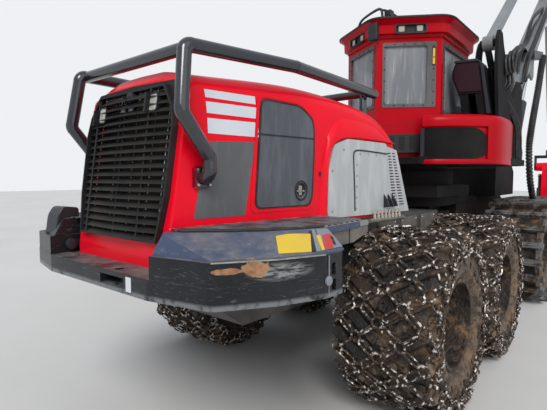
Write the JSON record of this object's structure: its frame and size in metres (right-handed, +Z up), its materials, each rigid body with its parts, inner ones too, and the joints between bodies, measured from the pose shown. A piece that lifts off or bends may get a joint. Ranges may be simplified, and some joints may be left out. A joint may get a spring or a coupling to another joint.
{
  "type": "eight-wheel forestry harvester",
  "caption": "Articulated eight-wheel forestry harvester with louvred engine hood, slewing cab and crane, hanging head, ring chains and bogie tracks.",
  "frame": {"origin": "on the ground under the middle of the whole machine", "axes": "+X forward along the machine, +Y to its left, +Z up"},
  "size_m": [10.2229, 3.04, 5.8284],
  "materials": {
    "red_paint": "gloss",
    "black_paint": "satin, scratched",
    "grey_paint": "satin, dusty",
    "pale_paint": "satin",
    "rim_paint": "dirty",
    "tread": "muddy",
    "worn_steel": "worn and rusty",
    "chrome_rod": "polished",
    "clear_glass": "tinted",
    "lamp_body": "clear lens",
    "seat_cloth": "woven"
  },
  "bodies": {
    "rear_frame": {"rear_chassis": "grey_paint", "rear_bumper": "black_paint", "hood_shell": "red_paint", "rear_grille": "black_paint", "engine_block": "grey_paint", "hood_guard": "black_paint", "side_covers": "grey_paint", "hood_arches": "red_paint", "rear_lamps": "lamp_body", "rear_bogies": "black_paint"},
    "side_door_right": {"side_door_right": "black_paint"},
    "side_door_left": {"side_door_left": "black_paint"},
    "wheel_right_1": {"tyre_right_1": "tread", "rim_right_1": "rim_paint", "chain_right_1": "worn_steel"},
    "wheel_right_2": {"tyre_right_2": "tread", "rim_right_2": "rim_paint", "chain_right_2": "worn_steel"},
    "wheel_left_1": {"tyre_left_1": "tread", "rim_left_1": "rim_paint", "chain_left_1": "worn_steel"},
    "wheel_left_2": {"tyre_left_2": "tread", "rim_left_2": "rim_paint", "chain_left_2": "worn_steel"},
    "front_frame": {"front_chassis": "black_paint", "front_bogies": "black_paint", "front_tyres": "tread", "front_rims": "rim_paint", "bogie_tracks": "worn_steel", "front_tanks": "red_paint"},
    "turret": {"turret_deck": "black_paint", "turret_skirt": "red_paint", "cab_shell": "red_paint", "cab_roof": "red_paint", "roof_lamps": "lamp_body", "cab_glass": "clear_glass", "cab_seat": "seat_cloth", "crane_post": "black_paint"},
    "cab_door": {"cab_door": "red_paint"},
    "boom": {"main_boom": "pale_paint"},
    "link": {"parallel_link": "pale_paint"},
    "knuckle": {"knuckle_link": "pale_paint"},
    "stick": {"stick": "pale_paint"},
    "extension": {"extension": "pale_paint"},
    "lift_barrel": {"lift_barrel": "black_paint"},
    "lift_rod": {"lift_rod": "chrome_rod"},
    "fold_barrel": {"fold_barrel": "black_paint"},
    "fold_rod": {"fold_rod": "chrome_rod"},
    "hanging_link": {"hanging_link": "black_paint"},
    "rotator": {"rotator": "black_paint"},
    "head": {"head_frame": "red_paint"},
    "knife_right": {"knife_right": "worn_steel"},
    "knife_left": {"knife_left": "worn_steel"},
    "roller_right": {"roller_right": "worn_steel"},
    "roller_left": {"roller_left": "worn_steel"}
  },
  "joints": [
    {"name": "wheel_right_1_spin", "type": "hinge", "parent": "rear_frame", "child": "wheel_right_1", "pos_m": [-3.035, -1.125, 0.706], "axis": [0, 1, 0], "continuous": true},
    {"name": "wheel_right_2_spin", "type": "hinge", "parent": "rear_frame", "child": "wheel_right_2", "pos_m": [-1.535, -1.125, 0.706], "axis": [0, 1, 0], "continuous": true},
    {"name": "wheel_left_1_spin", "type": "hinge", "parent": "rear_frame", "child": "wheel_left_1", "pos_m": [-3.035, 1.125, 0.706], "axis": [0, 1, 0], "continuous": true},
    {"name": "wheel_left_2_spin", "type": "hinge", "parent": "rear_frame", "child": "wheel_left_2", "pos_m": [-1.535, 1.125, 0.706], "axis": [0, 1, 0], "continuous": true},
    {"name": "side_door_right_hinge", "type": "hinge", "parent": "rear_frame", "child": "side_door_right", "pos_m": [-3.74789, -0.64216, 1.9], "axis": [0, 0, 1], "range_deg": [0, 95]},
    {"name": "side_door_left_hinge", "type": "hinge", "parent": "rear_frame", "child": "side_door_left", "pos_m": [-3.74789, 0.64216, 1.9], "axis": [0, 0, -1], "range_deg": [0, 95]},
    {"name": "steering", "type": "hinge", "parent": "rear_frame", "child": "front_frame", "pos_m": [-0.275, 0, 1.065], "axis": [0, 0, 1], "range_deg": [-40, 40]},
    {"name": "slew", "type": "hinge", "parent": "front_frame", "child": "turret", "pos_m": [-0.485, 0, 1.92], "axis": [0, 0, 1], "continuous": true},
    {"name": "cab_door_hinge", "type": "hinge", "parent": "turret", "child": "cab_door", "pos_m": [-0.125, 0.638, 2.775], "axis": [0, 0, -1], "range_deg": [0, 90]},
    {"name": "boom_lift", "type": "hinge", "parent": "turret", "child": "boom", "pos_m": [0.315, -1.05, 2.95], "axis": [0, 1, 0], "range_deg": [-35, 35]},
    {"name": "link_swing", "type": "hinge", "parent": "turret", "child": "link", "pos_m": [-0.815, -1.05, 3.35], "axis": [0, 1, 0], "range_deg": [-35, 35]},
    {"name": "knuckle_swing", "type": "hinge", "parent": "boom", "child": "knuckle", "pos_m": [3.315, -1.05, 5.2], "axis": [0, 1, 0], "range_deg": [-35, 35]},
    {"name": "stick_fold", "type": "hinge", "parent": "knuckle", "child": "stick", "pos_m": [3.645, -1.05, 5.14], "axis": [0, -1, 0], "range_deg": [-6, 74]},
    {"name": "extension_slide", "type": "slide", "parent": "stick", "child": "extension", "axis": [0.3843, 0, -0.9232], "range_m": [0, 1.2]},
    {"name": "lift_barrel_swing", "type": "hinge", "parent": "turret", "child": "lift_barrel", "pos_m": [0.565, -1.05, 2.15], "axis": [0, 1, 0], "range_deg": [-25, 25]},
    {"name": "lift_rod_slide", "type": "slide", "parent": "lift_barrel", "child": "lift_rod", "axis": [0.5727, 0, 0.8198], "range_m": [-0.39, 0.39]},
    {"name": "fold_barrel_swing", "type": "hinge", "parent": "knuckle", "child": "fold_barrel", "pos_m": [3.295, -1.05, 5.746], "axis": [0, -1, 0], "range_deg": [-3, 28]},
    {"name": "fold_rod_slide", "type": "slide", "parent": "fold_barrel", "child": "fold_rod", "axis": [0.7012, 0, -0.7129], "range_m": [-0.4, 0.04]},
    {"name": "hang_swing", "type": "hinge", "parent": "extension", "child": "hanging_link", "pos_m": [4.66492, -1.05, 2.6898], "axis": [0, 1, 0], "range_deg": [-30, 80]},
    {"name": "rotator_spin", "type": "hinge", "parent": "hanging_link", "child": "rotator", "pos_m": [4.66492, -1.05, 2.2898], "axis": [0, 0, 1], "continuous": true},
    {"name": "head_tilt", "type": "hinge", "parent": "rotator", "child": "head", "pos_m": [4.66492, -1.05, 2.0298], "axis": [0, 1, 0], "range_deg": [0, 90]},
    {"name": "knife_right_swing", "type": "hinge", "parent": "head", "child": "knife_right", "pos_m": [4.73992, -1.275, 1.4298], "axis": [0, 0, -1], "range_deg": [0, 60]},
    {"name": "roller_right_spin", "type": "hinge", "parent": "head", "child": "roller_right", "pos_m": [4.89492, -1.265, 1.3898], "axis": [0, 0, 1], "continuous": true},
    {"name": "knife_left_swing", "type": "hinge", "parent": "head", "child": "knife_left", "pos_m": [4.73992, -0.825, 1.4298], "axis": [0, 0, 1], "range_deg": [0, 60]},
    {"name": "roller_left_spin", "type": "hinge", "parent": "head", "child": "roller_left", "pos_m": [4.89492, -0.835, 1.3898], "axis": [0, 0, 1], "continuous": true}
  ],
  "couplings": [
    {"joint": "link_swing", "follows": "boom_lift", "ratio": 1},
    {"joint": "knuckle_swing", "follows": "boom_lift", "ratio": -1},
    {"joint": "lift_barrel_swing", "follows": "boom_lift", "ratio": 0.678},
    {"joint": "lift_rod_slide", "follows": "boom_lift", "m_per_rad": -0.62},
    {"joint": "fold_barrel_swing", "follows": "stick_fold", "ratio": 0.355},
    {"joint": "fold_rod_slide", "follows": "stick_fold", "m_per_rad": -0.3}
  ]
}
